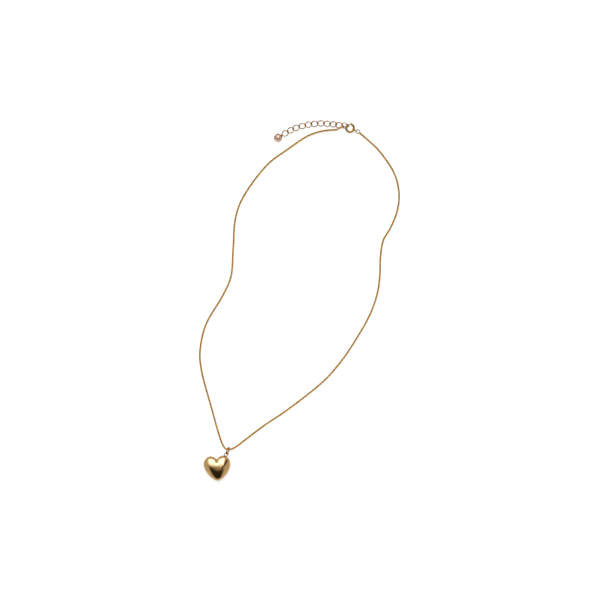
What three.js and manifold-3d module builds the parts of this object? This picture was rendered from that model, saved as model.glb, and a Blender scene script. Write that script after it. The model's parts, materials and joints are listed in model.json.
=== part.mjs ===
// Pendant necklace: a hollow heart on a fine cable chain, with a spring-ring clasp
// and an extender of curb links that ends in a small bezel-set crystal.
// Millimetres, +Z up. The necklace lies on z = 0, with +Y from the heart towards the clasp.
// The origin is below the middle of everything but the fine chain.

import * as THREE from 'three';
import { mergeVertices } from 'three/addons/utils/BufferGeometryUtils.js';
import Module from 'manifold-3d';

const wasm = await Module();
wasm.setup();

// ---- driving dimensions --------------------------------------------------------------

// Fine chain, from the jump ring round the right-hand side, through the bail, and back up.
const CHAIN_DIAMETER = 1.1;
const CHAIN_SIDES = 8;
const CHAIN_STEPS_PER_SPAN = 2;
const CHAIN_ROUTE = [
  [43.7, 93.4, 0.85], [48.1, 89.6, 0.62], [54.0, 84.0, 0.62], [62.9, 70.8, 0.62],
  [65.5, 60.0, 0.62], [64.6, 50.4, 0.62], [60.8, 40.5, 0.62], [56.8, 33.6, 0.62],
  [55.2, 25.0, 0.62], [54.8, 14.0, 0.62], [53.8, 5.6, 0.62], [51.4, -2.8, 0.62],
  [47.7, -11.2, 0.62], [37.6, -28.0, 0.62], [31.4, -36.4, 0.62], [23.9, -44.8, 0.62],
  [2.8, -61.6, 0.62], [-9.7, -70.0, 0.62], [-21.1, -78.6, 0.65], [-25.2, -81.7, 0.95],
  [-28.2, -83.3, 1.85], [-30.0, -83.5, 2.0], [-31.6, -83.1, 1.5], [-33.2, -80.9, 0.85],
  [-36.0, -72.8, 0.62], [-39.1, -61.6, 0.62], [-45.1, -39.2, 0.62], [-45.9, -29.0, 0.62],
  [-42.7, -14.0, 0.62], [-33.0, 2.8, 0.62], [-28.6, 13.0, 0.62], [-27.3, 29.0, 0.62],
  [-26.2, 44.8, 0.62], [-22.6, 56.0, 0.62], [-8.4, 75.6, 0.62], [2.6, 84.0, 0.62],
  [14.9, 92.1, 0.62], [22.6, 94.6, 0.62], [28.0, 95.2, 0.75], [30.35, 95.3, 1.0],
];

// Heart: the right half of its outline, from the notch to the tip, about its own centre.
const HEART_CENTRE = [-36.2, -93.9];
const HEART_TURN = THREE.MathUtils.degToRad(3.7);
const HEART_HALF_OUTLINE = [
  [0, 5.1], [1.2, 6.0], [3.2, 6.75], [5.3, 6.15], [6.9, 4.4], [7.4, 2.2],
  [6.8, -0.6], [5.0, -3.6], [2.8, -5.8], [1.2, -6.75], [0, -7.05],
];
const HEART_DEPTH = 5.6;
const HEART_WALL = 0.4;
const HEART_SEAM = 0.06;
const HEART_DOME_FLATNESS = 2.4;
const HEART_DOME_FULLNESS = 0.62;
const HEART_SEGMENTS = 44;
const HEART_RINGS = 7;
const HEART_ROUND_RADIUS = 7.0;

// Heart eyelet, a small ring in the seam's plane, above the right-hand lobe.
const EYELET_CENTRE = [-31.15, -86.3];
const EYELET_RADIUS = 1.05;
const EYELET_WIRE = 0.46;
const EYELET_SOCKET_GAP = 0.09;

// Bail, an oval ring that leans from the eyelet down to the chain.
const BAIL_HALF_LENGTH = 2.05;
const BAIL_HALF_WIDTH = 1.4;
const BAIL_WIRE = 0.7;
const BAIL_PLACE = { centre: [-30.31, -84.29, 2.24], heading: 68, slope: -17, roll: 71 };

// Spring-ring clasp, in its own frame: its eyelet points along its +X.
const CLASP_CENTRE = [38.1, 96.3, 1.15];
const CLASP_HEADING = THREE.MathUtils.degToRad(-24);
const CLASP_TILT = THREE.MathUtils.degToRad(4);
const CLASP_RADIUS = 2.2;
const CLASP_TUBE_OUTER = 0.6;
const CLASP_TUBE_INNER = 0.44;
const CLASP_GATE = [102, 148].map(THREE.MathUtils.degToRad);
const CLASP_SLOT = [36, 104].map(THREE.MathUtils.degToRad);
const CLASP_SLOT_WIDTH = 0.5;
const CLASP_SLOT_START = 2.4;
const BOLT_RADIUS = 0.33;
const BOLT_SPAN = [60, 153].map(THREE.MathUtils.degToRad);
const BOLT_STEPS = 14;
const THUMB_ANGLE = THREE.MathUtils.degToRad(95);
const THUMB_STEM_RADIUS = 0.15;
const THUMB_HEAD_RADIUS = 0.3;
const THUMB_HEAD_DISTANCE = 3.05;
const SPRING_SPAN = [-140, 57].map(THREE.MathUtils.degToRad);
const SPRING_TURNS = 13;
const SPRING_COIL_RADIUS = 0.24;
const SPRING_WIRE_RADIUS = 0.07;
const SPRING_STEPS = 104;
const SPRING_SIDES = 5;
const COLLAR_HALF_ANGLE = THREE.MathUtils.degToRad(11);
const COLLAR_INNER = 0.69;
const COLLAR_OUTER = 0.84;
const CLASP_EYELET_DISTANCE = 3.72;
const CLASP_EYELET_RADIUS = 0.62;
const CLASP_EYELET_WIRE = 0.4;

// The blocks that cut the clasp's tube start inside its hole and reach well past it.
const CUT_START = 0.5;
const CUT_REACH = 4;
const CUT_DEPTH = 2;

// Jump ring between the clasp's eyelet and the fine chain, in the clasp's frame.
const JUMP_RING_RADIUS = 1.125;
const JUMP_RING_WIRE = 0.45;

// Connector, an oval ring on edge between the fine chain's other end and the first link.
const CONNECTOR_HALF_LENGTH = 2.22;
const CONNECTOR_HALF_WIDTH = 1.1;
const CONNECTOR_WIRE = 0.5;
const CONNECTOR_PLACE = { centre: [32.8, 96.5, 1.33], heading: 23, slope: -5, roll: 70 };

// Extender: twisted oval links. The clasp's tube and the connector both pass through the
// first link, which leans over them; the second leans less, and the rest lie along a route.
const LINK_COUNT = 11;
const LINK_HALF_LENGTH = 2.04;
const LINK_HALF_WIDTH = 1.52;
const LINK_WIRE = 0.45;
const LINK_TWIST = THREE.MathUtils.degToRad(42);
const LINK_PITCH = 3.5;
const LEANING_LINKS = [
  { centre: [35.4, 97.55, 1.26], heading: -8.8, slope: 5, roll: 34 },
  { centre: [31.95, 97.95, 0.96], heading: -2, slope: 2.7, roll: 14 },
];
const EXTENDER_ROUTE = [
  [28.7, 98.4, 0.9], [21.5, 98.9, 0.88], [14.3, 98.1, 0.88], [7.6, 96.3, 0.88],
  [1.3, 93.0, 0.88], [-2.9, 90.1, 0.88],
];
const LINK_ROLL_SWAY = 5;
const LINK_ROLL_STEP = 2.1;

// Charm: a round cast setting with a loop, and a brilliant-cut crystal pressed into it.
const CHARM_RADIUS = 2.25;
const CHARM_HEIGHT = 1.35;
const CHARM_WALL = 0.32;
const CHARM_FLOOR = 0.3;
const CHARM_BACK_CHAMFER = 0.15;
const CHARM_LIP_CHAMFER = 0.12;
const CHARM_LOOP_DISTANCE = 2.54;
const CHARM_LOOP_RADIUS = 0.56;
const CHARM_LOOP_WIRE = 0.34;
const CHARM_LOOP_HEIGHT = 0.9;
const CHARM_SLACK = 0.02;
const CRYSTAL_GAP = 0.08;
const CRYSTAL_HEIGHT = 1.75;
const CRYSTAL_GIRDLE = [1.1, 1.2];
const CRYSTAL_CULET_RADIUS = 0.25;
const CRYSTAL_TABLE_SHARE = 0.6;
const CRYSTAL_SIDES = 16;

// How finely the round wires and tubes are stepped.
const WIRE_SIDES = 6;
const WIRE_STEPS = 20;
const TUBE_SIDES = 8;
const TUBE_STEPS = 40;
const LOOP_STEPS = 24;
const ROUND_SIDES = 32;

// ---- materials -----------------------------------------------------------------------

const gold = new THREE.MeshStandardMaterial({ color: 0xcf9d55, roughness: 0.18, metalness: 1 });
const chainGold = new THREE.MeshStandardMaterial({ color: 0xbe8c3c, roughness: 0.25, metalness: 1 });
const steel = new THREE.MeshStandardMaterial({ color: 0xa9abae, roughness: 0.35, metalness: 1 });
const crystal = new THREE.MeshStandardMaterial({
  color: 0xf4eef0, roughness: 0.03, metalness: 0, transparent: true, opacity: 0.4,
});

// ---- shapes --------------------------------------------------------------------------

const X_AXIS = new THREE.Vector3(1, 0, 0);
const Y_AXIS = new THREE.Vector3(0, 1, 0);
const Z_AXIS = new THREE.Vector3(0, 0, 1);
const TAU = 2 * Math.PI;

// An oval that may be twisted about its long axis, which is local X, by `twist` at each end.
class TwistedOval extends THREE.Curve {
  constructor(halfLength, halfWidth, twist = 0) {
    super();
    this.halfLength = halfLength;
    this.halfWidth = halfWidth;
    this.twist = twist;
  }

  getPoint(t, target = new THREE.Vector3()) {
    const along = Math.cos(TAU * t);
    const across = this.halfWidth * Math.sin(TAU * t);
    const angle = this.twist * along;
    return target.set(this.halfLength * along, across * Math.cos(angle), across * Math.sin(angle));
  }
}

// A stretch of a circle about Z.
class RingArc extends THREE.Curve {
  constructor(radius, [from, to]) {
    super();
    this.radius = radius;
    this.from = from;
    this.to = to;
  }

  getPoint(t, target = new THREE.Vector3()) {
    const angle = this.from + (this.to - this.from) * t;
    return target.set(this.radius * Math.cos(angle), this.radius * Math.sin(angle), 0);
  }
}

// A coil whose own axis is a stretch of a circle about Z.
class BentCoil extends RingArc {
  constructor(radius, span, turns, coilRadius) {
    super(radius, span);
    this.turns = turns;
    this.coilRadius = coilRadius;
  }

  getPoint(t, target = new THREE.Vector3()) {
    const angle = this.from + (this.to - this.from) * t;
    const winding = TAU * this.turns * t;
    const reach = this.radius + this.coilRadius * Math.cos(winding);
    const height = this.coilRadius * Math.sin(winding);
    return target.set(reach * Math.cos(angle), reach * Math.sin(angle), height);
  }
}

// A closed loop of wire. The tube joins up with itself, so it has no open ends.
function wireLoop(curve, wire, sides = WIRE_SIDES) {
  return new THREE.TubeGeometry(curve, LOOP_STEPS, wire / 2, sides, true);
}

// A rod with flat ends along an open curve.
function rodAlong(curve, radius, steps, sides) {
  const section = new THREE.Shape();
  for (let i = 0; i < sides; i += 1) {
    const angle = (TAU * i) / sides;
    const point = [radius * Math.cos(angle), radius * Math.sin(angle)];
    if (i === 0) section.moveTo(...point);
    else section.lineTo(...point);
  }
  return new THREE.ExtrudeGeometry(section, { steps, extrudePath: curve });
}

// A turned shape about Z, from [radius, height] pairs that start and end on the axis.
function lathe(profile, sides) {
  const turned = new THREE.LatheGeometry(profile.map(([x, y]) => new THREE.Vector2(x, y)), sides);
  return turned.rotateX(Math.PI / 2);
}

// A block shaped like a slice of a ring about Z, of the given depth, centred on z = 0.
function ringSlice(innerRadius, outerRadius, [from, to], depth) {
  const slice = new THREE.Shape();
  slice.absarc(0, 0, outerRadius, from, to, false);
  slice.absarc(0, 0, innerRadius, to, from, true);
  const block = new THREE.ExtrudeGeometry(slice, { depth, bevelEnabled: false, curveSegments: 10 });
  return block.translate(0, 0, -depth / 2);
}

function toSolid(geometry) {
  const bare = geometry.clone();
  bare.deleteAttribute('normal');
  bare.deleteAttribute('uv');
  const merged = mergeVertices(bare, 1e-5);
  return new wasm.Manifold(new wasm.Mesh({
    numProp: 3,
    vertProperties: Float32Array.from(merged.attributes.position.array),
    triVerts: Uint32Array.from(merged.index.array),
  }));
}

function toGeometry(solid) {
  const mesh = solid.getMesh();
  const geometry = new THREE.BufferGeometry();
  geometry.setAttribute('position', new THREE.BufferAttribute(mesh.vertProperties, 3));
  geometry.setIndex(new THREE.BufferAttribute(mesh.triVerts, 1));
  geometry.computeVertexNormals();
  return geometry;
}

function addPiece(parent, name, geometry, material) {
  const mesh = new THREE.Mesh(geometry, material);
  mesh.name = name;
  parent.add(mesh);
  return mesh;
}

// The unit vector at a heading in the XY plane, raised by a slope, in degrees.
function direction(heading, slope) {
  const polar = THREE.MathUtils.degToRad(90 - slope);
  const around = THREE.MathUtils.degToRad(heading);
  return new THREE.Vector3(
    Math.sin(polar) * Math.cos(around),
    Math.sin(polar) * Math.sin(around),
    Math.cos(polar),
  );
}

// Turns a piece so that its local X points along `heading` in the XY plane, raised by
// `slope`, and rolls it about that X, all in degrees. Roll 0 leaves local Y level.
function pose(object, { centre, heading, slope, roll }) {
  const along = direction(heading, slope);
  const level = new THREE.Vector3().crossVectors(Z_AXIS, along).normalize();
  level.applyAxisAngle(along, THREE.MathUtils.degToRad(roll));
  const up = new THREE.Vector3().crossVectors(along, level);
  object.quaternion.setFromRotationMatrix(new THREE.Matrix4().makeBasis(along, level, up));
  object.position.set(...centre);
  return object;
}

// ---- heart ---------------------------------------------------------------------------

// The outline as a closed curve that starts at the notch and runs clockwise.
function heartOutline() {
  const right = HEART_HALF_OUTLINE.map(([x, y]) => new THREE.Vector3(x, y, 0));
  const left = HEART_HALF_OUTLINE.slice(1, -1).reverse().map(([x, y]) => new THREE.Vector3(-x, y, 0));
  return new THREE.CatmullRomCurve3([...right, ...left], true);
}

// Half of the heart, as a cup whose open side is at z = 0. It is turned on a lathe as a
// round cup, and each of its rings is then reshaped: round near the pole, heart at the rim.
function heartShell() {
  const profile = [];
  const height = HEART_DEPTH / 2 - HEART_SEAM / 2;
  const dome = (radius) => (1 - radius ** HEART_DOME_FLATNESS) ** HEART_DOME_FULLNESS;
  const ring = (i) => Math.sin(((Math.PI / 2) * i) / HEART_RINGS);
  for (let i = 0; i <= HEART_RINGS; i += 1) {
    profile.push(new THREE.Vector2(ring(i), i === HEART_RINGS ? 0 : height * dome(ring(i))));
  }
  const inner = 1 - HEART_WALL / HEART_ROUND_RADIUS;
  for (let i = HEART_RINGS; i >= 0; i -= 1) {
    const depth = i === HEART_RINGS ? 0 : (height - HEART_WALL) * dome(ring(i));
    profile.push(new THREE.Vector2(inner * ring(i), depth));
  }
  const shell = new THREE.LatheGeometry(profile, HEART_SEGMENTS);
  const outline = heartOutline();
  const place = shell.attributes.position;
  for (let i = 0; i < place.count; i += 1) {
    const radius = Math.hypot(place.getX(i), place.getZ(i));
    const turn = (Math.atan2(place.getX(i), place.getZ(i)) / TAU + 1) % 1;
    const rim = outline.getPointAt(turn);
    const blend = radius ** 2;
    const x = blend * rim.x + (1 - blend) * HEART_ROUND_RADIUS * Math.sin(TAU * turn);
    const y = blend * rim.y + (1 - blend) * HEART_ROUND_RADIUS * Math.cos(TAU * turn);
    place.setXYZ(i, radius * x, radius * y, place.getY(i));
  }
  return shell;
}

function buildHeart(parent) {
  const socketRadius = EYELET_WIRE / 2 + EYELET_SOCKET_GAP;
  const socketRing = new THREE.TorusGeometry(EYELET_RADIUS, socketRadius, TUBE_SIDES, WIRE_STEPS);
  socketRing.translate(EYELET_CENTRE[0], EYELET_CENTRE[1], HEART_DEPTH / 2);
  const socket = toSolid(socketRing);
  const halves = [['heart_front_shell', 1], ['heart_back_shell', -1]];
  for (const [name, side] of halves) {
    const shell = heartShell();
    if (side < 0) shell.rotateY(Math.PI);
    shell.rotateZ(HEART_TURN);
    shell.translate(...HEART_CENTRE, HEART_DEPTH / 2 + (side * HEART_SEAM) / 2);
    addPiece(parent, name, toGeometry(toSolid(shell).subtract(socket)), gold);
  }
  const eyelet = addPiece(
    parent,
    'heart_eyelet',
    new THREE.TorusGeometry(EYELET_RADIUS, EYELET_WIRE / 2, WIRE_SIDES, WIRE_STEPS),
    gold,
  );
  eyelet.position.set(...EYELET_CENTRE, HEART_DEPTH / 2);
}

function buildBail(parent) {
  const oval = new TwistedOval(BAIL_HALF_LENGTH, BAIL_HALF_WIDTH);
  const bail = addPiece(parent, 'bail_ring', wireLoop(oval, BAIL_WIRE, TUBE_SIDES), gold);
  pose(bail, BAIL_PLACE);
}

// ---- clasp ---------------------------------------------------------------------------

function claspTube() {
  const outer = toSolid(new THREE.TorusGeometry(CLASP_RADIUS, CLASP_TUBE_OUTER, TUBE_SIDES, TUBE_STEPS));
  const inner = toSolid(new THREE.TorusGeometry(CLASP_RADIUS, CLASP_TUBE_INNER, TUBE_SIDES, TUBE_STEPS));
  const gate = toSolid(ringSlice(CUT_START, CUT_REACH, CLASP_GATE, CUT_DEPTH));
  const slot = toSolid(ringSlice(CLASP_SLOT_START, CUT_REACH, CLASP_SLOT, CLASP_SLOT_WIDTH));
  return toGeometry(outer.subtract(inner).subtract(gate).subtract(slot));
}

function claspBolt() {
  const rod = toSolid(rodAlong(new RingArc(CLASP_RADIUS, BOLT_SPAN), BOLT_RADIUS, BOLT_STEPS, TUBE_SIDES));
  const stemLength = THUMB_HEAD_DISTANCE - CLASP_RADIUS;
  const stem = new THREE.CylinderGeometry(THUMB_STEM_RADIUS, THUMB_STEM_RADIUS, stemLength, TUBE_SIDES);
  stem.rotateZ(-Math.PI / 2);
  stem.translate(CLASP_RADIUS + stemLength / 2, 0, 0);
  const head = new THREE.SphereGeometry(THUMB_HEAD_RADIUS, 10, 8);
  head.translate(THUMB_HEAD_DISTANCE, 0, 0);
  const thumb = toSolid(stem).add(toSolid(head));
  return toGeometry(rod.add(thumb.rotate([0, 0, THREE.MathUtils.radToDeg(THUMB_ANGLE)])));
}

function claspEyelet() {
  const outer = toSolid(new THREE.TorusGeometry(CLASP_RADIUS, COLLAR_OUTER, TUBE_SIDES, TUBE_STEPS));
  const inner = toSolid(new THREE.TorusGeometry(CLASP_RADIUS, COLLAR_INNER, TUBE_SIDES, TUBE_STEPS));
  const span = [-COLLAR_HALF_ANGLE, COLLAR_HALF_ANGLE];
  const keep = toSolid(ringSlice(CUT_START, CUT_REACH, span, CUT_DEPTH));
  const ring = new THREE.TorusGeometry(CLASP_EYELET_RADIUS, CLASP_EYELET_WIRE / 2, WIRE_SIDES, WIRE_STEPS);
  ring.rotateX(Math.PI / 2);
  ring.translate(CLASP_EYELET_DISTANCE, 0, 0);
  return toGeometry(outer.subtract(inner).intersect(keep).add(toSolid(ring)));
}

function buildClasp(parent) {
  const clasp = new THREE.Group();
  clasp.position.set(...CLASP_CENTRE);
  clasp.quaternion.setFromAxisAngle(Z_AXIS, CLASP_HEADING);
  clasp.quaternion.multiply(new THREE.Quaternion().setFromAxisAngle(Y_AXIS, CLASP_TILT));
  parent.add(clasp);
  addPiece(clasp, 'clasp_tube', claspTube(), gold);
  addPiece(clasp, 'clasp_bolt', claspBolt(), gold);
  addPiece(clasp, 'clasp_eyelet', claspEyelet(), gold);
  const coil = new BentCoil(CLASP_RADIUS, SPRING_SPAN, SPRING_TURNS, SPRING_COIL_RADIUS);
  addPiece(clasp, 'clasp_spring', rodAlong(coil, SPRING_WIRE_RADIUS, SPRING_STEPS, SPRING_SIDES), steel);
  const jumpRing = new THREE.TorusGeometry(JUMP_RING_RADIUS, JUMP_RING_WIRE / 2, WIRE_SIDES, WIRE_STEPS);
  const ring = addPiece(clasp, 'clasp_jump_ring', jumpRing, gold);
  ring.position.set(CLASP_EYELET_DISTANCE + JUMP_RING_RADIUS, 0, 0);
}

// ---- connector and extender ----------------------------------------------------------

function buildConnector(parent) {
  const oval = new TwistedOval(CONNECTOR_HALF_LENGTH, CONNECTOR_HALF_WIDTH);
  const ring = addPiece(parent, 'connector_ring', wireLoop(oval, CONNECTOR_WIRE), gold);
  pose(ring, CONNECTOR_PLACE);
}

// Where each link lies, with its local X pointing back towards the clasp.
function linkPlaces() {
  const route = new THREE.CatmullRomCurve3(EXTENDER_ROUTE.map((p) => new THREE.Vector3(...p)));
  const length = route.getLength();
  const places = [...LEANING_LINKS];
  for (let i = 0; places.length < LINK_COUNT; i += 1) {
    const back = route.getTangentAt((i * LINK_PITCH) / length).negate();
    places.push({
      centre: route.getPointAt((i * LINK_PITCH) / length).toArray(),
      heading: THREE.MathUtils.radToDeg(Math.atan2(back.y, back.x)),
      slope: 0,
      roll: LINK_ROLL_SWAY * Math.cos(LINK_ROLL_STEP * i),
    });
  }
  return places;
}

function buildExtender(parent, places) {
  places.forEach((place, i) => {
    const oval = new TwistedOval(LINK_HALF_LENGTH, LINK_HALF_WIDTH, LINK_TWIST);
    const name = `extender_link_${String(i + 1).padStart(2, '0')}`;
    pose(addPiece(parent, name, wireLoop(oval, LINK_WIRE), gold), place);
  });
}

// ---- charm ---------------------------------------------------------------------------

function charmSetting() {
  const seat = CHARM_RADIUS - CHARM_WALL;
  const profile = [
    [0, 0],
    [CHARM_RADIUS - CHARM_BACK_CHAMFER, 0],
    [CHARM_RADIUS, CHARM_BACK_CHAMFER],
    [CHARM_RADIUS, CHARM_HEIGHT - CHARM_LIP_CHAMFER],
    [CHARM_RADIUS - CHARM_LIP_CHAMFER, CHARM_HEIGHT],
    [seat, CHARM_HEIGHT],
    [seat, CHARM_FLOOR],
    [0, CHARM_FLOOR],
  ];
  const cup = lathe(profile, ROUND_SIDES);
  // the loop is square to the link's wire, which crosses it slanted by the link's twist
  const loop = new THREE.TorusGeometry(CHARM_LOOP_RADIUS, CHARM_LOOP_WIRE / 2, WIRE_SIDES, WIRE_STEPS);
  loop.rotateX(Math.PI / 2 - LINK_TWIST);
  loop.translate(CHARM_LOOP_DISTANCE, 0, CHARM_LOOP_HEIGHT);
  const bore = new THREE.CylinderGeometry(seat, seat, CHARM_HEIGHT, ROUND_SIDES);
  bore.rotateX(Math.PI / 2);
  bore.translate(0, 0, CHARM_FLOOR + CHARM_HEIGHT / 2);
  return toGeometry(toSolid(cup).add(toSolid(loop)).subtract(toSolid(bore)));
}

function charmCrystal() {
  const girdle = CHARM_RADIUS - CHARM_WALL - CRYSTAL_GAP;
  const floor = CHARM_FLOOR + CRYSTAL_GAP;
  const profile = [
    [0, floor],
    [CRYSTAL_CULET_RADIUS, floor],
    [girdle, CRYSTAL_GIRDLE[0]],
    [girdle, CRYSTAL_GIRDLE[1]],
    [girdle * CRYSTAL_TABLE_SHARE, CRYSTAL_HEIGHT],
    [0, CRYSTAL_HEIGHT],
  ];
  return lathe(profile, CRYSTAL_SIDES);
}

// The charm's loop, on its local +X side, takes the far end of the last link.
function buildCharm(parent, lastLink) {
  const back = direction(lastLink.heading, 0);
  const reach = LINK_HALF_LENGTH + CHARM_LOOP_DISTANCE + CHARM_SLACK;
  const centre = new THREE.Vector3(...lastLink.centre).addScaledVector(back, -reach);
  const charm = new THREE.Group();
  charm.position.set(centre.x, centre.y, 0);
  charm.quaternion.setFromUnitVectors(X_AXIS, back);
  parent.add(charm);
  addPiece(charm, 'charm_setting', charmSetting(), gold);
  addPiece(charm, 'charm_crystal', charmCrystal(), crystal);
}

// ---- fine chain ----------------------------------------------------------------------

// A smooth route whose steps are equal between its points, so they are short where its
// points are close, as they are at the bail.
class SteppedRoute extends THREE.CatmullRomCurve3 {
  getPointAt(u, target) {
    return this.getPoint(u, target);
  }

  getTangentAt(u, target) {
    return this.getTangent(u, target);
  }
}

function buildChain(parent) {
  const route = new SteppedRoute(CHAIN_ROUTE.map((p) => new THREE.Vector3(...p)));
  const steps = CHAIN_STEPS_PER_SPAN * (CHAIN_ROUTE.length - 1);
  const chain = rodAlong(route, CHAIN_DIAMETER / 2, steps, CHAIN_SIDES);
  addPiece(parent, 'fine_chain', chain, chainGold);
}

const necklace = new THREE.Group();
buildChain(necklace);
buildHeart(necklace);
buildBail(necklace);
buildClasp(necklace);
buildConnector(necklace);
const places = linkPlaces();
buildExtender(necklace, places);
buildCharm(necklace, places.at(-1));

export default necklace;
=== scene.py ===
"""Pendant necklace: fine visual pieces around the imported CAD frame. Metres, +Z up."""

import json
import math

import bpy
import numpy as np
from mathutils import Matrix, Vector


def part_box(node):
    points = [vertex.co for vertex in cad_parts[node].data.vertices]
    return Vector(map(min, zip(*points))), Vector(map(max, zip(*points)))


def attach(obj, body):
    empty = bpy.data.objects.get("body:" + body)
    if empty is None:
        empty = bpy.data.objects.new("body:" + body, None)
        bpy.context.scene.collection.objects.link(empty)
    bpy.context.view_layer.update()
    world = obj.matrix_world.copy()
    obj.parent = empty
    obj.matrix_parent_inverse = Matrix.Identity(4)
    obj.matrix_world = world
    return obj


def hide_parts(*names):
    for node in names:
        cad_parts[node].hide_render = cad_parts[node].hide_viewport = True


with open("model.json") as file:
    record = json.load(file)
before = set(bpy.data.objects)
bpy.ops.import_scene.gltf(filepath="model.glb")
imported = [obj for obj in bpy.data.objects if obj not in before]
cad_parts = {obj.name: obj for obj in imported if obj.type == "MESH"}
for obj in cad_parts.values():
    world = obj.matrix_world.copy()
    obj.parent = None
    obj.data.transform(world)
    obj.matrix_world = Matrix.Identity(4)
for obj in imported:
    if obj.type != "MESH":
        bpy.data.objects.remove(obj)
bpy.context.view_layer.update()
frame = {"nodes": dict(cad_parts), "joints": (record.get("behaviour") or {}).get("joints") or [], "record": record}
record = frame["record"]
joints = {j["name"]: j for j in frame["joints"]}

MM = 0.001
TAU = 2 * math.pi
rng = np.random.default_rng(7)

# ---- camera --------------------------------------------------------------------------

CAMERA_HEIGHT = 2.0
FIELD_WIDTH = 0.336
FIELD_CENTRE = (0.0101, 0.0)

camera_data = bpy.data.cameras.new("camera")
camera_data.lens = camera_data.sensor_width * CAMERA_HEIGHT / FIELD_WIDTH
camera_data.clip_start = 0.05
camera_data.clip_end = 40
camera = bpy.data.objects.new("camera", camera_data)
camera.location = (*FIELD_CENTRE, CAMERA_HEIGHT)
bpy.context.scene.collection.objects.link(camera)
bpy.context.scene.camera = camera


# ---- node helpers --------------------------------------------------------------------


def node(tree, kind, **settings):
    made = tree.nodes.new(kind)
    for key, value in settings.items():
        setattr(made, key, value)
    return made


def plug(tree, socket, value):
    """Links a socket to an output, or sets its constant."""
    if isinstance(value, bpy.types.NodeSocket):
        tree.links.new(value, socket)
    else:
        socket.default_value = value


def calc(tree, operation, *values):
    made = node(tree, "ShaderNodeMath", operation=operation)
    for socket, value in zip(made.inputs, values):
        plug(tree, socket, value)
    return made.outputs[0]


def noise(tree, place, scale, detail=3.0, roughness=0.5):
    made = node(tree, "ShaderNodeTexNoise")
    plug(tree, made.inputs["Vector"], place)
    made.inputs["Scale"].default_value = scale
    made.inputs["Detail"].default_value = detail
    made.inputs["Roughness"].default_value = roughness
    return made.outputs["Fac"]


def remap(tree, value, low, high, to_low, to_high):
    made = node(tree, "ShaderNodeMapRange")
    plug(tree, made.inputs["Value"], value)
    made.inputs["From Min"].default_value = low
    made.inputs["From Max"].default_value = high
    made.inputs["To Min"].default_value = to_low
    made.inputs["To Max"].default_value = to_high
    return made.outputs["Result"]


def blend_colour(tree, share, first, second):
    made = node(tree, "ShaderNodeMix", data_type="RGBA")
    plug(tree, made.inputs["Factor"], share)
    plug(tree, made.inputs[6], (*first, 1))
    plug(tree, made.inputs[7], (*second, 1))
    return made.outputs[2]


def bump(tree, height, distance, strength, normal=None):
    made = node(tree, "ShaderNodeBump")
    plug(tree, made.inputs["Height"], height)
    made.inputs["Distance"].default_value = distance
    made.inputs["Strength"].default_value = strength
    if normal is not None:
        plug(tree, made.inputs["Normal"], normal)
    return made.outputs["Normal"]


# ---- materials -----------------------------------------------------------------------

# The tint of the gold where it is seen edge on.
EDGE_TINT = (0.95, 0.80, 0.60)


def metal(name, light, deep, roughness, patch, wear, ripple, scratch, coat=0.0):
    """A metal whose colour drifts between two tones over patches, with a rougher wear,
    a slow ripple in the surface, fine scratches and a clear coat of the given weight.
    patch and wear are sizes, and ripple and scratch are a size and a height, in metres."""
    material = bpy.data.materials.new(name)
    material.use_nodes = True
    tree = material.node_tree
    shader = tree.nodes["Principled BSDF"]
    place = node(tree, "ShaderNodeTexCoord").outputs["Object"]
    drift = remap(tree, noise(tree, place, 1 / patch), 0.35, 0.65, 0.0, 1.0)
    plug(tree, shader.inputs["Base Color"], blend_colour(tree, drift, light, deep))
    shader.inputs["Metallic"].default_value = 1.0
    grain = noise(tree, place, 1 / wear, 4.0, 0.6)
    rough = remap(tree, grain, 0.3, 0.7, roughness[0], roughness[1])
    plug(tree, shader.inputs["Roughness"], rough)
    slow = bump(tree, noise(tree, place, 1 / ripple[0], 1.0), ripple[1], 1.0)
    fine = noise(tree, place, 1 / scratch[0], 2.0)
    plug(tree, shader.inputs["Normal"], bump(tree, fine, scratch[1], 1.0, slow))
    shader.inputs["Specular Tint"].default_value = (*EDGE_TINT, 1)
    shader.inputs["Coat Weight"].default_value = coat
    shader.inputs["Coat Roughness"].default_value = 0.03
    shader.inputs["Coat IOR"].default_value = 1.5
    return material


GOLD_LIGHT = (0.45, 0.270, 0.080)
GOLD_DEEP = (0.40, 0.235, 0.060)

polished = metal(
    "polished_gold", GOLD_LIGHT, GOLD_DEEP, roughness=(0.05, 0.12), patch=0.003, wear=0.0012,
    ripple=(0.004, 0.00001), scratch=(0.0002, 0.0000006), coat=1.0,
)
# A darker copy of the heart's gold for the thin wires: painted shade, which darkens wires that the lamps light too
# brightly.
wire_gold_painted_shade = metal(
    "wire_gold_painted_shade", (0.32, 0.155, 0.016), (0.23, 0.105, 0.008), roughness=(0.08, 0.18),
    patch=0.0015, wear=0.0006, ripple=(0.001, 0.000006), scratch=(0.00015, 0.0000006),
)
# A darker copy of the heart's gold for the clasp: painted shade, as for the thin wires.
clasp_gold_painted_shade = metal(
    "clasp_gold_painted_shade", (0.34, 0.165, 0.014), (0.24, 0.110, 0.007), roughness=(0.06, 0.14),
    patch=0.0015, wear=0.0006, ripple=(0.001, 0.000006), scratch=(0.00015, 0.0000006),
    coat=0.2,
)
cable_gold = metal(
    "cable_gold", (0.49, 0.265, 0.032), (0.39, 0.205, 0.018), roughness=(0.10, 0.22),
    patch=0.002, wear=0.0005, ripple=(0.0006, 0.000006), scratch=(0.00012, 0.0000006),
)
steel = metal(
    "spring_steel", (0.62, 0.63, 0.65), (0.50, 0.51, 0.54), roughness=(0.22, 0.38),
    patch=0.0008, wear=0.0003, ripple=(0.0005, 0.000002), scratch=(0.0001, 0.0000006),
)
foil = metal(
    "foil", (0.86, 0.72, 0.58), (0.62, 0.46, 0.30), roughness=(0.06, 0.14),
    patch=0.0006, wear=0.0002, ripple=(0.0005, 0.000004), scratch=(0.0001, 0.0000006),
)


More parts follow.
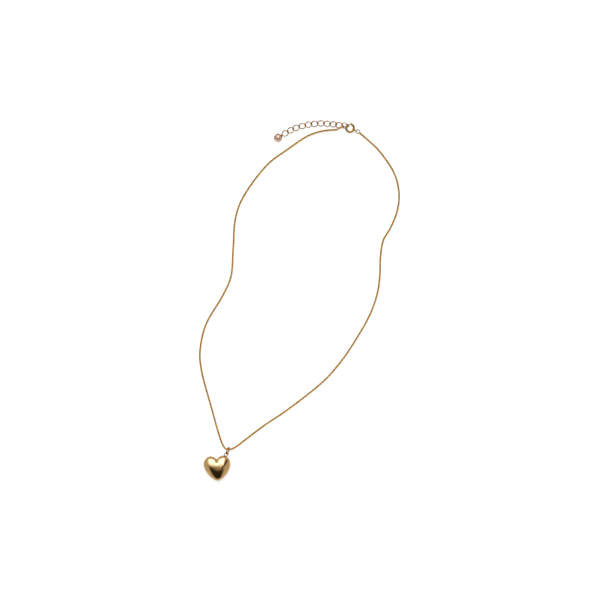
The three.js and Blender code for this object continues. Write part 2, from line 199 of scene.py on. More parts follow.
def clear_stone():
    material = bpy.data.materials.new("crystal")
    material.use_nodes = True
    tree = material.node_tree
    shader = tree.nodes["Principled BSDF"]
    place = node(tree, "ShaderNodeTexCoord").outputs["Object"]
    tint = noise(tree, place, 900, 2.0)
    colour = blend_colour(tree, tint, (1.0, 0.95, 0.91), (0.96, 0.88, 0.80))
    plug(tree, shader.inputs["Base Color"], colour)
    shader.inputs["Transmission Weight"].default_value = 1.0
    shader.inputs["IOR"].default_value = 1.56
    haze = noise(tree, place, 4000, 2.0)
    plug(tree, shader.inputs["Roughness"], remap(tree, haze, 0.3, 0.7, 0.0, 0.02))
    plug(tree, shader.inputs["Normal"], bump(tree, haze, 0.0000003, 1.0))
    return material


stone = clear_stone()


# ---- mesh helpers --------------------------------------------------------------------


def mesh_piece(name, points, faces, material, smooth=True):
    mesh = bpy.data.meshes.new(name)
    mesh.from_pydata(np.asarray(points, float).tolist(), [], faces)
    mesh.materials.append(material)
    if smooth:
        mesh.shade_smooth()
    piece = bpy.data.objects.new(name, mesh)
    bpy.context.scene.collection.objects.link(piece)
    return piece


def unit(v):
    v = np.asarray(v, float)
    return v / np.linalg.norm(v, axis=-1, keepdims=True)


def sections(path, side, radius, sides):
    """Rings of points round a path. side is a direction near square to it at each point."""
    ahead = unit(np.gradient(path, axis=0))
    across = unit(np.cross(side, ahead))
    up = np.cross(ahead, across)
    angle = np.arange(sides) * TAU / sides
    reach = np.broadcast_to(np.asarray(radius, float), (len(path),))[:, None, None]
    ring = (
        np.cos(angle)[None, :, None] * across[:, None, :]
        + np.sin(angle)[None, :, None] * up[:, None, :]
    )
    return path[:, None, :] + reach * ring


def loop_sections(path, side, radius, sides):
    """The same for a closed path, whose last point joins its first."""
    ahead = unit(np.roll(path, -1, axis=0) - np.roll(path, 1, axis=0))
    across = unit(np.cross(side, ahead))
    up = np.cross(ahead, across)
    angle = np.arange(sides) * TAU / sides
    ring = (
        np.cos(angle)[None, :, None] * across[:, None, :]
        + np.sin(angle)[None, :, None] * up[:, None, :]
    )
    return path[:, None, :] + radius * ring


def grid_faces(rows, columns, closed_rows, start=0):
    """Faces of a grid whose columns close on themselves."""
    faces = []
    for i in range(rows if closed_rows else rows - 1):
        for k in range(columns):
            a = start + i * columns + k
            b = start + i * columns + (k + 1) % columns
            c = start + ((i + 1) % rows) * columns + (k + 1) % columns
            d = start + ((i + 1) % rows) * columns + k
            faces.append((a, b, c, d))
    return faces


def closed_wire(name, path, side, radius, sides, material):
    rings = loop_sections(path, side, radius, sides)
    faces = grid_faces(len(path), sides, True)
    return mesh_piece(name, rings.reshape(-1, 3), faces, material)


def open_wire(name, path, side, radius, sides, material):
    rings = sections(path, side, radius, sides)
    faces = grid_faces(len(path), sides, False)
    last = (len(path) - 1) * sides
    faces.append(tuple(reversed(range(sides))))
    faces.append(tuple(last + k for k in range(sides)))
    return mesh_piece(name, rings.reshape(-1, 3), faces, material)


def own_axes(cad_node):
    """A CAD ring's centre, and its long, wide and thin directions, from its own mesh."""
    low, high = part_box(cad_node)
    centre = np.array((low + high) / 2)
    points = np.array([v.co for v in frame["nodes"][cad_node].data.vertices], float)
    spread = points - points.mean(0)
    _, directions = np.linalg.eigh(spread.T @ spread)
    along, wide = directions[:, 2], directions[:, 1]
    return centre, along, wide, np.cross(along, wide)


def joint_point(name):
    return np.array(joints[name]["pos_m"], float)


# ---- fine chain ----------------------------------------------------------------------

# The route of the CAD chain, in metres, from the jump ring to the connector ring.
CHAIN_ROUTE = MM * np.array([
    [43.7, 93.4, 0.85], [48.1, 89.6, 0.62], [54.0, 84.0, 0.62], [62.9, 70.8, 0.62],
    [65.5, 60.0, 0.62], [64.6, 50.4, 0.62], [60.8, 40.5, 0.62], [56.8, 33.6, 0.62],
    [55.2, 25.0, 0.62], [54.8, 14.0, 0.62], [53.8, 5.6, 0.62], [51.4, -2.8, 0.62],
    [47.7, -11.2, 0.62], [37.6, -28.0, 0.62], [31.4, -36.4, 0.62], [23.9, -44.8, 0.62],
    [2.8, -61.6, 0.62], [-9.7, -70.0, 0.62], [-21.1, -78.6, 0.65], [-25.2, -81.7, 0.95],
    [-28.2, -83.3, 1.85], [-30.0, -83.5, 2.0], [-31.6, -83.1, 1.5], [-33.2, -80.9, 0.85],
    [-36.0, -72.8, 0.62], [-39.1, -61.6, 0.62], [-45.1, -39.2, 0.62], [-45.9, -29.0, 0.62],
    [-42.7, -14.0, 0.62], [-33.0, 2.8, 0.62], [-28.6, 13.0, 0.62], [-27.3, 29.0, 0.62],
    [-26.2, 44.8, 0.62], [-22.6, 56.0, 0.62], [-8.4, 75.6, 0.62], [2.6, 84.0, 0.62],
    [14.9, 92.1, 0.62], [22.6, 94.6, 0.62], [28.0, 95.2, 0.75], [30.35, 95.3, 1.0],
])
CABLE_WIRE = 0.22 * MM
CABLE_HALF = (0.67 * MM, 0.455 * MM)
CABLE_PITCH = 0.885 * MM
CABLE_STEPS, CABLE_SIDES = 18, 8
# Slow waves in how the links roll, as turn in radians, links to a radian, and start.
CABLE_SWAYS = ((0.11, 23.0, 0.0), (0.07, 9.1, 1.0))
CABLE_ROLL_SPREAD = 0.03
ROUTE_STEPS = 30


def smooth_part(p0, p1, p2, p3, steps):
    """Points from p1 to just before p2 on a centripetal Catmull-Rom line through all four."""
    d1, d2, d3 = (np.linalg.norm(b - a) ** 0.5 for a, b in ((p0, p1), (p1, p2), (p2, p3)))
    t1 = ((p1 - p0) / d1 - (p2 - p0) / (d1 + d2) + (p2 - p1) / d2) * d2
    t2 = ((p2 - p1) / d2 - (p3 - p1) / (d2 + d3) + (p3 - p2) / d3) * d2
    return [
        (2 * t**3 - 3 * t**2 + 1) * p1 + (t**3 - 2 * t**2 + t) * t1
        + (3 * t**2 - 2 * t**3) * p2 + (t**3 - t**2) * t2
        for t in np.arange(steps) / steps
    ]


def smooth_route(points, steps):
    """A smooth line through the points, as the CAD chain follows."""
    padded = np.vstack([2 * points[0] - points[1], points, 2 * points[-1] - points[-2]])
    line = []
    for i in range(len(points) - 1):
        line += smooth_part(*padded[i : i + 4], steps)
    line.append(points[-1])
    return np.array(line)


def evenly(line, spacing):
    """Points along a line at equal distances as near the spacing as fits."""
    travel = np.concatenate([[0], np.cumsum(np.linalg.norm(np.diff(line, axis=0), axis=1))])
    count = int(round(travel[-1] / spacing)) + 1
    wanted = np.linspace(0, travel[-1], count)
    return np.stack([np.interp(wanted, travel, line[:, k]) for k in range(3)], axis=1)


def cable_chain():
    """Oval links at even distances along the route, each a quarter turn from the last."""
    line = smooth_route(CHAIN_ROUTE, ROUTE_STEPS)
    centres = evenly(line, CABLE_PITCH)
    ahead = unit(np.gradient(centres, axis=0))
    level = unit(np.cross([0, 0, 1.0], ahead))
    up = np.cross(ahead, level)
    count = len(centres)
    stretch = np.arange(count)
    sway = sum(turn * np.sin(stretch / slow + start) for turn, slow, start in CABLE_SWAYS)
    uneven = rng.normal(0, CABLE_ROLL_SPREAD, count)
    roll = np.where(stretch % 2 == 0, 1, -1) * math.pi / 4 + sway + uneven
    wide = np.cos(roll)[:, None] * level + np.sin(roll)[:, None] * up
    thin = np.cross(ahead, wide)
    turn = np.arange(CABLE_STEPS) * TAU / CABLE_STEPS
    faces, points = [], []
    for i in range(count):
        path = (
            centres[i]
            + CABLE_HALF[0] * np.cos(turn)[:, None] * ahead[i]
            + CABLE_HALF[1] * np.sin(turn)[:, None] * wide[i]
        )
        faces += grid_faces(CABLE_STEPS, CABLE_SIDES, True, i * CABLE_STEPS * CABLE_SIDES)
        points.append(loop_sections(path, thin[i], CABLE_WIRE, CABLE_SIDES).reshape(-1, 3))
    chain = mesh_piece("cable_chain", np.vstack(points), faces, cable_gold)
    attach(chain, "chain")
    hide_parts("fine_chain")


cable_chain()


# ---- heart ---------------------------------------------------------------------------

HEART_TURN = math.radians(3.7)
HEART_HALF_OUTLINE = MM * np.array([
    [0, 5.1], [1.2, 6.0], [3.2, 6.75], [5.3, 6.15], [6.9, 4.4], [7.4, 2.2],
    [6.8, -0.6], [5.0, -3.6], [2.8, -5.8], [1.2, -6.75], [0, -7.05],
])
HEART_ROUND_RADIUS = 7.0 * MM
# The dome's height at a share r of the way out is (1 - r ** first) ** second.
HEART_DOME = (2.4, 0.62)
# The crease that runs down from the notch.
CREASE_FOOT, CREASE_TOP = 1.4 * MM, 5.6 * MM
CREASE_DEPTH = 0.4
CREASE_WIDTH = 0.8 * MM
HEART_SEGMENTS = 240
HEART_RINGS = 56
OUTLINE_STEPS = 40
SEAM_BEAD_RADIUS = 0.06 * MM
SEAM_BEAD_SIDES = 8


def heart_outline(count):
    """Points at equal distances round the heart, clockwise from its notch."""
    left = HEART_HALF_OUTLINE[1:-1][::-1] * [-1, 1]
    knots = np.vstack([HEART_HALF_OUTLINE, left])
    knots = np.column_stack([knots, np.zeros(len(knots))])
    total = len(knots)
    line = []
    for i in range(total):
        line += smooth_part(*(knots[(i + k) % total] for k in (-1, 0, 1, 2)), OUTLINE_STEPS)
    line = np.array(line + [line[0]])
    travel = np.concatenate([[0], np.cumsum(np.linalg.norm(np.diff(line, axis=0), axis=1))])
    wanted = np.arange(count) / count * travel[-1]
    return np.stack([np.interp(wanted, travel, line[:, k]) for k in range(2)], axis=1)


def heart():
    """Two domed halves that meet at a seam. The outline softens to a circle towards the top."""
    front_low, front_high = map(np.array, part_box("heart_front_shell"))
    back_low, back_high = map(np.array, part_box("heart_back_shell"))
    low, high = np.minimum(front_low, back_low), np.maximum(front_high, back_high)
    turn = np.array([
        [math.cos(HEART_TURN), math.sin(HEART_TURN)],
        [-math.sin(HEART_TURN), math.cos(HEART_TURN)],
    ])
    rim = heart_outline(HEART_SEGMENTS) @ turn
    middle = (low[:2] + high[:2]) / 2 - (rim.min(0) + rim.max(0)) / 2
    seam = (front_low[2] + back_high[2]) / 2
    clock = np.arange(HEART_SEGMENTS) / HEART_SEGMENTS * TAU
    circle = HEART_ROUND_RADIUS * np.stack([np.sin(clock), np.cos(clock)], axis=1) @ turn
    halves = (("heart_front", "heart_front_shell", 1), ("heart_back", "heart_back_shell", -1))
    for name, cad_node, side in halves:
        height = (high[2] - seam) if side > 0 else (seam - low[2])
        points = []
        for i in range(HEART_RINGS, 0, -1):
            radius = math.sin(math.pi / 2 * i / HEART_RINGS)
            blend = radius**2
            flat = radius * (blend * rim + (1 - blend) * circle) + middle
            dome = (1 - radius ** HEART_DOME[0]) ** HEART_DOME[1]
            lift = height * dome if i < HEART_RINGS else 0
            own = (flat - middle) @ turn.T
            into = np.clip((own[:, 1] - CREASE_FOOT) / (CREASE_TOP - CREASE_FOOT), 0, 1)
            into = into**2 * (3 - 2 * into)
            lift = lift * (1 - CREASE_DEPTH * into * np.exp(-((own[:, 0] / CREASE_WIDTH) ** 2)))
            points.append(np.column_stack([flat, np.full(len(flat), seam + side * lift)]))
        points = np.vstack([*points, [[*middle, seam + side * height]]])
        faces = grid_faces(HEART_RINGS, HEART_SEGMENTS, False)
        last = (HEART_RINGS - 1) * HEART_SEGMENTS
        top = len(points) - 1
        for k in range(HEART_SEGMENTS):
            faces.append((last + k, last + (k + 1) % HEART_SEGMENTS, top))
        if side > 0:
            faces = [tuple(reversed(f)) for f in faces]
        shell = mesh_piece(name, points, faces, polished)
        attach(shell, "heart")
        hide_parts(cad_node)
    edge = np.column_stack([rim + middle, np.full(len(rim), seam)])
    bead = closed_wire(
        "heart_seam", edge, np.array([0, 0, 1.0]), SEAM_BEAD_RADIUS, SEAM_BEAD_SIDES, polished
    )
    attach(bead, "heart")


heart()


# ---- rings ---------------------------------------------------------------------------

# The CAD wires are six-sided or eight-sided. A round wire with this share of their corners'
# radius fills about the same space.
SMOOTH_SHARE = 0.94
RING_STEPS, RING_SIDES = 96, 16
BAIL_HALVES = (2.05 * MM, 1.4 * MM)
BAIL_WIRE = 0.7 * MM
CONNECTOR_HALVES = (2.22 * MM, 1.1 * MM)
CONNECTOR_WIRE = 0.5 * MM
EYELET_RADIUS = 1.05 * MM
EYELET_WIRE = 0.46 * MM
JUMP_RING_RADIUS = 1.125 * MM
JUMP_RING_WIRE = 0.45 * MM
LINK_COUNT = 11
LINK_HALVES = (2.04 * MM, 1.52 * MM)
# Thicker than the CAD's 0.45 mm, by choice.
LINK_WIRE = 0.55 * MM
LINK_TWIST = math.radians(42)


def oval_path(centre, along, wide, half_length, half_width, twist):
    """An oval whose ends are turned about its length by the twist, one each way, and the
    direction square to it at each point."""
    turn = np.arange(RING_STEPS) * TAU / RING_STEPS
    reach = np.cos(turn)
    across = half_width * np.sin(turn)
    thin = np.cross(along, wide)
    angle = twist * reach
    path = (
        centre
        + half_length * reach[:, None] * along
        + (across * np.cos(angle))[:, None] * wide
        + (across * np.sin(angle))[:, None] * thin
    )
    side = -np.sin(angle)[:, None] * wide + np.cos(angle)[:, None] * thin
    return path, side


def ring_piece(name, cad_node, body, halves, wire, twist=0.0, material=wire_gold_painted_shade):
    centre, along, wide, _ = own_axes(cad_node)
    path, side = oval_path(centre, along, wide, *halves, twist)
    ring = closed_wire(name, path, side, wire / 2 * SMOOTH_SHARE, RING_SIDES, material)
    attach(ring, body)
    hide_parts(cad_node)


ring_piece("bail", "bail_ring", "bail", BAIL_HALVES, BAIL_WIRE)
ring_piece(
    "connector", "connector_ring", "connector", CONNECTOR_HALVES, CONNECTOR_WIRE,
    material=cable_gold,
)
ring_piece("eyelet", "heart_eyelet", "heart", (EYELET_RADIUS, EYELET_RADIUS), EYELET_WIRE)
ring_piece(
    "jump_ring", "clasp_jump_ring", "jump_ring", (JUMP_RING_RADIUS, JUMP_RING_RADIUS),
    JUMP_RING_WIRE,
)
for number in range(1, LINK_COUNT + 1):
    ring_piece(
        f"link_{number:02d}", f"extender_link_{number:02d}", f"link_{number:02d}",
        LINK_HALVES, LINK_WIRE, LINK_TWIST,
    )


# ---- clasp ---------------------------------------------------------------------------

CLASP_RADIUS = 2.2 * MM
TUBE_OUTER = 0.58 * MM
TUBE_INNER = 0.44 * MM
GATE = (math.radians(102), math.radians(148))
SLOT_START = math.radians(36)
SLOT_HALF_WIDTH = 0.25 * MM
# How far the slotted part runs into the whole one, in radians.
TUBE_LAP = 0.01
TUBE_SIDES = 32
WHOLE_STEPS, SLOTTED_STEPS = 110, 36
COLLAR_OUTER = 0.8 * MM
COLLAR_INNER = 0.575 * MM
COLLAR_HALF_ANGLE = 0.19
COLLAR_STEPS = 14
CLASP_EYE_DISTANCE = 3.72 * MM
CLASP_EYE_RADIUS = 0.62 * MM
CLASP_EYE_WIRE = 0.4 * MM
CLASP_EYE_STEPS, CLASP_EYE_SIDES = 64, 14
BOLT_RADIUS = 0.31 * MM
BOLT_SPAN = (math.radians(60), math.radians(153))
BOLT_STEPS, BOLT_SIDES = 48, 20
THUMB_ANGLE = math.radians(95)
THUMB_STEM = (2.3 * MM, 3.34 * MM)
THUMB_STEM_RADIUS = 0.14 * MM
THUMB_KNOB_DISTANCE = 3.05 * MM
THUMB_KNOB_RADIUS = 0.29 * MM
THUMB_KNOB_REACH = 0.288 * MM
THUMB_TIP_RADIUS = 0.004 * MM
THUMB_STEPS, THUMB_SIDES = 40, 18
SPRING_TURNS = 13
SPRING_START = math.radians(-140)
SPRING_SWEEP = math.radians(197)
SPRING_COIL_RADIUS = 0.24 * MM
SPRING_WIRE_RADIUS = 0.065 * MM
SPRING_STEPS, SPRING_SIDES = 20 * SPRING_TURNS, 8


def clasp_axes():
    centre = joint_point("bolt_travel")
    normal = unit(joints["bolt_travel"]["axis"])
    towards = joint_point("clasp_swing") - centre
    along = unit(towards - (towards @ normal) * normal)
    return centre, along, np.cross(normal, along), normal


def placed(points, axes):
    """Points in the clasp's or charm's own frame, put in the row frame."""
    centre, along, wide, normal = axes
    points = np.asarray(points, float)
    return (
        centre + points[..., 0:1] * along + points[..., 1:2] * wide + points[..., 2:3] * normal
    )


def ring_sweep(profile, span, steps):
    """A row of points for each step round the clasp's ring, from (outward, up) pairs."""
    profile = np.asarray(profile, float)
    angles = np.linspace(*span, steps)
    reach = CLASP_RADIUS + profile[:, 0]
    return np.stack([
        np.cos(angles)[:, None] * reach, np.sin(angles)[:, None] * reach,
        np.broadcast_to(profile[:, 1], (steps, len(profile))),
    ], axis=-1)


def hollow_profile(outer, inner, opening):
    """A tube's section with a mouth that faces outward, `opening` wide on each side."""
    ends = [math.asin(min(1.0, opening / r)) if opening else 0.0 for r in (outer, inner)]
    outside = np.linspace(ends[0], TAU - ends[0], TUBE_SIDES)
    inside = np.linspace(TAU - ends[1], ends[1], TUBE_SIDES)
    rings = [(r * np.cos(a), r * np.sin(a)) for r, a in ((outer, outside), (inner, inside))]
    return np.vstack([np.column_stack(ring) for ring in rings])


def swept_piece(name, parts, axes, material):
    """Swept tubes as one piece, each closed at both ends between its two walls."""
    points, faces = [], []
    for part in parts:
        rows, columns = part.shape[:2]
        start = sum(len(p) for p in points)
        faces += grid_faces(rows, columns, False, start)
        half = columns // 2
        for row, flip in ((0, True), (rows - 1, False)):
            base = start + row * columns
            for k in range(half - 1):
                quad = (base + k, base + k + 1, base + columns - 2 - k, base + columns - 1 - k)
                faces.append(tuple(reversed(quad)) if flip else quad)
        points.append(placed(part.reshape(-1, 3), axes))
    return mesh_piece(name, np.vstack(points), faces, material)


def clasp_body(axes):
    """The tube with its gate and its slot, the collar, and the eye beside it."""
    whole = hollow_profile(TUBE_OUTER, TUBE_INNER, 0.0)
    slotted = hollow_profile(TUBE_OUTER, TUBE_INNER, SLOT_HALF_WIDTH)
    parts = [
        ring_sweep(whole, (GATE[1], SLOT_START + TAU), WHOLE_STEPS),
        ring_sweep(slotted, (SLOT_START - TUBE_LAP, GATE[0]), SLOTTED_STEPS),
    ]
    tube = swept_piece("clasp_ring", parts, axes, clasp_gold_painted_shade)
    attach(tube, "clasp")
    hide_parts("clasp_tube")

    collar = hollow_profile(COLLAR_OUTER, COLLAR_INNER, 0.0)
    sweep = ring_sweep(collar, (-COLLAR_HALF_ANGLE, COLLAR_HALF_ANGLE), COLLAR_STEPS)
    band = swept_piece("clasp_collar", [sweep], axes, clasp_gold_painted_shade)
    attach(band, "clasp")

    turn = np.arange(CLASP_EYE_STEPS) * TAU / CLASP_EYE_STEPS
    loop = np.column_stack([
        CLASP_EYE_DISTANCE + CLASP_EYE_RADIUS * np.cos(turn),
        np.zeros(CLASP_EYE_STEPS),
        CLASP_EYE_RADIUS * np.sin(turn),
    ])
    radius = CLASP_EYE_WIRE / 2 * SMOOTH_SHARE
    eye = closed_wire(
        "clasp_eye", placed(loop, axes), axes[2], radius, CLASP_EYE_SIDES, clasp_gold_painted_shade
    )
    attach(eye, "clasp")
    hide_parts("clasp_eyelet")


def clasp_bolt(axes):
    """The bolt, a curved rod in the tube, and the thumb piece that comes out of the slot."""
    angles = np.linspace(*BOLT_SPAN, BOLT_STEPS)
    rod = np.column_stack([
        CLASP_RADIUS * np.cos(angles), CLASP_RADIUS * np.sin(angles), np.zeros(BOLT_STEPS)
    ])
    bolt = open_wire("bolt", placed(rod, axes), axes[3], BOLT_RADIUS, BOLT_SIDES, wire_gold_painted_shade)
    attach(bolt, "bolt")
    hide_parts("clasp_bolt")

    out = np.array([math.cos(THUMB_ANGLE), math.sin(THUMB_ANGLE), 0])
    travel = np.linspace(*THUMB_STEM, THUMB_STEPS)
    past_knob = travel - THUMB_KNOB_DISTANCE
    ball = np.sqrt(np.maximum(THUMB_KNOB_RADIUS**2 - past_knob**2, 0))
    width = np.where(np.abs(past_knob) < THUMB_KNOB_REACH, ball, 0.0)
    width = np.maximum(width, np.where(past_knob < 0, THUMB_STEM_RADIUS, THUMB_TIP_RADIUS))
    stem = placed(travel[:, None] * out, axes)
    side = np.broadcast_to(axes[3], stem.shape)
    thumb = open_wire("thumb_piece", stem, side, width, THUMB_SIDES, wire_gold_painted_shade)
    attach(thumb, "bolt")


def clasp_spring(axes):
    """A coil that follows the tube behind the bolt."""
    share = np.linspace(0, 1, SPRING_STEPS)
    angle = SPRING_START + SPRING_SWEEP * share
    winding = TAU * SPRING_TURNS * share
    reach = CLASP_RADIUS + SPRING_COIL_RADIUS * np.cos(winding)
    coil = np.column_stack([
        reach * np.cos(angle), reach * np.sin(angle), SPRING_COIL_RADIUS * np.sin(winding)
    ])
    core = np.column_stack([
        CLASP_RADIUS * np.cos(angle), CLASP_RADIUS * np.sin(angle), 0 * angle
    ])
    inward = placed(core, axes) - placed(coil, axes)
    spring = open_wire(
        "spring", placed(coil, axes), inward, SPRING_WIRE_RADIUS, SPRING_SIDES, steel
    )
    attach(spring, "clasp")
    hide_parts("clasp_spring")


clasp_frame = clasp_axes()
clasp_body(clasp_frame)
clasp_bolt(clasp_frame)
clasp_spring(clasp_frame)


# ---- charm ---------------------------------------------------------------------------

# Pairs of radius and height in millimetres, from the middle of the back, up and round.
CUP_PROFILE = [
    (0, 0), (1.90, 0), (2.06, 0.03), (2.17, 0.10), (2.22, 0.22), (2.23, 0.45),
    (2.23, 1.08), (2.24, 1.20), (2.20, 1.31), (2.10, 1.345), (1.98, 1.32),
    (1.93, 1.24), (1.925, 1.0), (1.92, 0.32), (0, 0.30),
]
FOIL_PROFILE = [
    (0, 0.325), (0.1, 0.33), (0.76, 0.66), (1.80, 1.06),
    (1.90, 1.10), (1.90, 1.06), (0.76, 0.58), (0, 0.31),
]
# The crystal's rings of corners, as radius and height in millimetres.
TABLE = (1.08, 1.75)
STAR = (1.42, 1.50)
GIRDLE_RADIUS = 1.83
GIRDLE_HEIGHTS = (1.10, 1.20)
PAVILION = (0.82, 0.72)
CULET_HEIGHT = 0.38
CHARM_LOOP_DISTANCE = 2.54 * MM
CHARM_LOOP_HEIGHT = 0.9 * MM
CHARM_LOOP_RADIUS = 0.56 * MM
CHARM_LOOP_WIRE = 0.34 * MM
CHARM_LOOP_STEPS, CHARM_LOOP_SIDES = 56, 14
BEZEL_SIDES, FOIL_SIDES = 96, 64
# A brilliant has this many kite faces in its crown.
KITES = 8


def charm_axes():
    centre = np.array(record["mounts"][0]["pos_m"], float)
    towards = joint_point("charm_swing") - centre
    towards[2] = 0
    along = unit(towards)
    return centre, along, np.cross([0, 0, 1.0], along), np.array([0, 0, 1.0])


def turned_piece(name, profile, sides, axes, material, smooth=True):
    """A shape turned about its own Z from (radius, height) pairs that start and end on it."""
    angle = np.arange(sides) * TAU / sides
    points = [(0, 0, profile[0][1])]
    for radius, height in profile[1:-1]:
        points += [(radius * math.cos(a), radius * math.sin(a), height) for a in angle]
    points.append((0, 0, profile[-1][1]))
    rows = len(profile) - 2
    faces = grid_faces(rows, sides, False, 1)
    last = 1 + (rows - 1) * sides
    for k in range(sides):
        faces.append((0, 1 + (k + 1) % sides, 1 + k))
        faces.append((last + k, last + (k + 1) % sides, len(points) - 1))
    points = placed(np.array(points) * MM, axes)
    return mesh_piece(name, points, faces, material, smooth)


def brilliant():
    """The points and flat faces of a round brilliant with its table up."""
    points, faces = [], []

    def ring(radius, height, count, phase=0.0):
        first = len(points)
        for k in range(count):
            a = (k + phase) * TAU / count
            points.append((radius * math.cos(a), radius * math.sin(a), height))
        return [first + k for k in range(count)]

    top = ring(*TABLE, KITES)
    kite = ring(*STAR, KITES, 0.5)
    upper = ring(GIRDLE_RADIUS, GIRDLE_HEIGHTS[1], 2 * KITES)
    lower = ring(GIRDLE_RADIUS, GIRDLE_HEIGHTS[0], 2 * KITES)
    pavilion = ring(*PAVILION, KITES, 0.5)
    points.append((0, 0, CULET_HEIGHT))
    tip = len(points) - 1
    faces.append(tuple(top))
    for k in range(KITES):
        after = (k + 1) % KITES
        beyond = (2 * k + 2) % (2 * KITES)
        faces.append((top[k], kite[k], top[after]))
        faces.append((top[k], kite[k - 1], upper[2 * k], kite[k]))
        faces.append((kite[k], upper[2 * k], upper[2 * k + 1]))
        faces.append((kite[k], upper[2 * k + 1], upper[beyond]))
        faces.append((pavilion[k], lower[2 * k + 1], lower[2 * k]))
        faces.append((pavilion[k], lower[beyond], lower[2 * k + 1]))
        faces.append((pavilion[k - 1], pavilion[k], lower[2 * k]))
        faces.append((tip, pavilion[k], pavilion[k - 1]))
    for k in range(2 * KITES):
        after = (k + 1) % (2 * KITES)
        faces.append((lower[k], lower[after], upper[after], upper[k]))
    return np.array(points), faces


def charm():
    axes = charm_axes()
    bezel = turned_piece("bezel", CUP_PROFILE, BEZEL_SIDES, axes, wire_gold_painted_shade)
    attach(bezel, "charm")
    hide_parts("charm_setting")

    backing = turned_piece("foil_backing", FOIL_PROFILE[::-1], FOIL_SIDES, axes, foil)
    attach(backing, "charm")

    points, faces = brilliant()
    gem = mesh_piece("crystal", placed(points * MM, axes), faces, stone, smooth=False)
    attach(gem, "charm")
    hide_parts("charm_crystal")

    tilt = math.pi / 2 - LINK_TWIST
    turn = np.arange(CHARM_LOOP_STEPS) * TAU / CHARM_LOOP_STEPS
    flat = CHARM_LOOP_RADIUS * np.column_stack([np.cos(turn), np.sin(turn)])
    loop = np.column_stack([
        CHARM_LOOP_DISTANCE + flat[:, 0],
        flat[:, 1] * math.cos(tilt),
        CHARM_LOOP_HEIGHT + flat[:, 1] * math.sin(tilt),
    ])
    square = np.array([0, -math.sin(tilt), math.cos(tilt)])
    side = placed(loop + square, axes) - placed(loop, axes)
    radius = CHARM_LOOP_WIRE / 2 * SMOOTH_SHARE
    eye = closed_wire(
        "charm_loop", placed(loop, axes), side, radius, CHARM_LOOP_SIDES, wire_gold_painted_shade
    )
    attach(eye, "charm")


charm()


# ---- floor, world and light ----------------------------------------------------------

# The floor is lit from below as well, as on a light table, which thins the shadows.
FLOOR_GLOW = 0.58


def paper():
    material = bpy.data.materials.new("paper")
    material.use_nodes = True
    tree = material.node_tree
    shader = tree.nodes["Principled BSDF"]
    place = node(tree, "ShaderNodeTexCoord").outputs["Object"]
    fleck = noise(tree, place, 40, 3.0)
    colour = blend_colour(tree, fleck, (0.46, 0.45, 0.40), (0.44, 0.43, 0.38))
    plug(tree, shader.inputs["Base Color"], colour)
    plug(tree, shader.inputs["Roughness"], remap(tree, fleck, 0.3, 0.7, 0.8, 0.9))
    shader.inputs["Specular IOR Level"].default_value = 0.1
    shader.inputs["Emission Color"].default_value = (1.0, 1.02, 0.94, 1)
    shader.inputs["Emission Strength"].default_value = FLOOR_GLOW
    return material


FLOOR_HALF = 6.0
# Just under zero, so that the pieces that rest at zero don't share its surface.
FLOOR_LEVEL = -0.01 * MM
FLOOR_SIGNS = ((-1, -1), (1, -1), (1, 1), (-1, 1))
floor = mesh_piece(
    "floor", [(i * FLOOR_HALF, j * FLOOR_HALF, FLOOR_LEVEL) for i, j in FLOOR_SIGNS],
    [(0, 1, 2, 3)], paper(), smooth=False,
)


# The brightness of the tent, the card and the panel.
TENT = 1.0
CARD = 0.05
PANEL = 4.4
# The direction square to the flag, which hangs slanting across the right-hand side.
FLAG_SQUARE = (0.640, -0.729, -0.246)


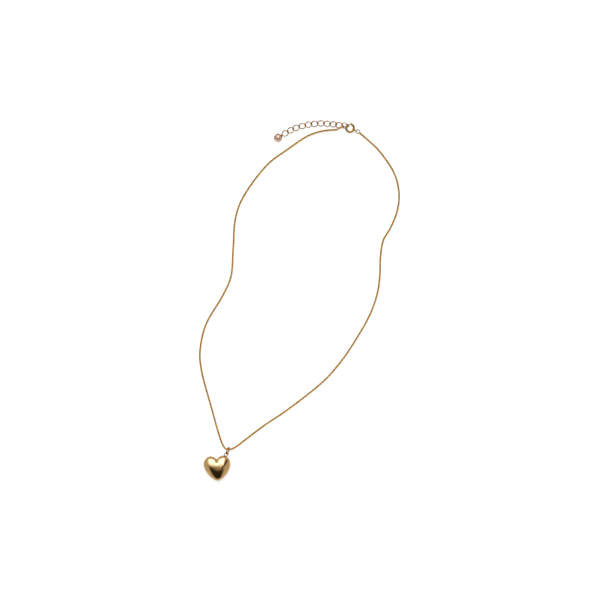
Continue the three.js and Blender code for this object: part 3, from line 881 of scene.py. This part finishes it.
def studio():
    """A pale tent with a cool panel towards +Y, a dark card overhead towards -Y, and a
    narrow flag between the panel and the tent's right-hand side."""
    world = bpy.data.worlds.new("studio")
    world.use_nodes = True
    bpy.context.scene.world = world
    tree = world.node_tree
    direction = node(tree, "ShaderNodeTexCoord").outputs["Generated"]
    parts = node(tree, "ShaderNodeSeparateXYZ")
    plug(tree, parts.inputs[0], direction)
    x, y, z = parts.outputs

    def ramp(value, low, high, falling=False):
        made = node(tree, "ShaderNodeMapRange", interpolation_type="SMOOTHSTEP")
        plug(tree, made.inputs["Value"], value)
        made.inputs["From Min"].default_value = low
        made.inputs["From Max"].default_value = high
        made.inputs["To Min"].default_value = 1.0 if falling else 0.0
        made.inputs["To Max"].default_value = 0.0 if falling else 1.0
        return made.outputs["Result"]

    def product(*shares):
        total = shares[0]
        for share in shares[1:]:
            total = calc(tree, "MULTIPLY", total, share)
        return total

    panel = product(
        ramp(y, -0.05, 0.40), ramp(y, 0.70, 0.86, True),
        ramp(x, -0.74, -0.40), ramp(x, 0.36, 0.50, True), ramp(z, 0.46, 0.60),
    )
    spread = calc(tree, "ADD", x, calc(tree, "MULTIPLY", z, 0.5))
    level = calc(tree, "ADD", y, calc(tree, "MULTIPLY", calc(tree, "MINIMUM", x, 0.0), 0.4))
    card = product(
        ramp(level, -0.30, 0.10, True), ramp(spread, -0.46, 0.02),
        ramp(x, 0.34, 0.70, True), ramp(z, 0.10, 0.34),
    )
    across = node(tree, "ShaderNodeVectorMath", operation="DOT_PRODUCT")
    plug(tree, across.inputs[0], direction)
    across.inputs[1].default_value = FLAG_SQUARE
    flag = product(
        ramp(calc(tree, "ABSOLUTE", across.outputs["Value"]), 0.06, 0.15, True),
        ramp(x, 0.08, 0.36), ramp(z, 0.30, 0.42),
    )
    dark = calc(tree, "MAXIMUM", card, flag)
    tent = node(tree, "ShaderNodeBackground")
    tent.inputs["Color"].default_value = (1.0, 0.985, 0.96, 1)
    plug(tree, tent.inputs["Strength"], remap(tree, dark, 0.0, 1.0, TENT, CARD))
    light = tree.nodes["Background"]
    light.inputs["Color"].default_value = (0.84, 0.95, 1.60, 1)
    plug(tree, light.inputs["Strength"], calc(tree, "MULTIPLY", panel, PANEL))
    both = node(tree, "ShaderNodeAddShader")
    plug(tree, both.inputs[0], tent.outputs[0])
    plug(tree, both.inputs[1], light.outputs[0])
    plug(tree, tree.nodes["World Output"].inputs["Surface"], both.outputs[0])


studio()

bpy.context.scene.view_settings.view_transform = "Standard"
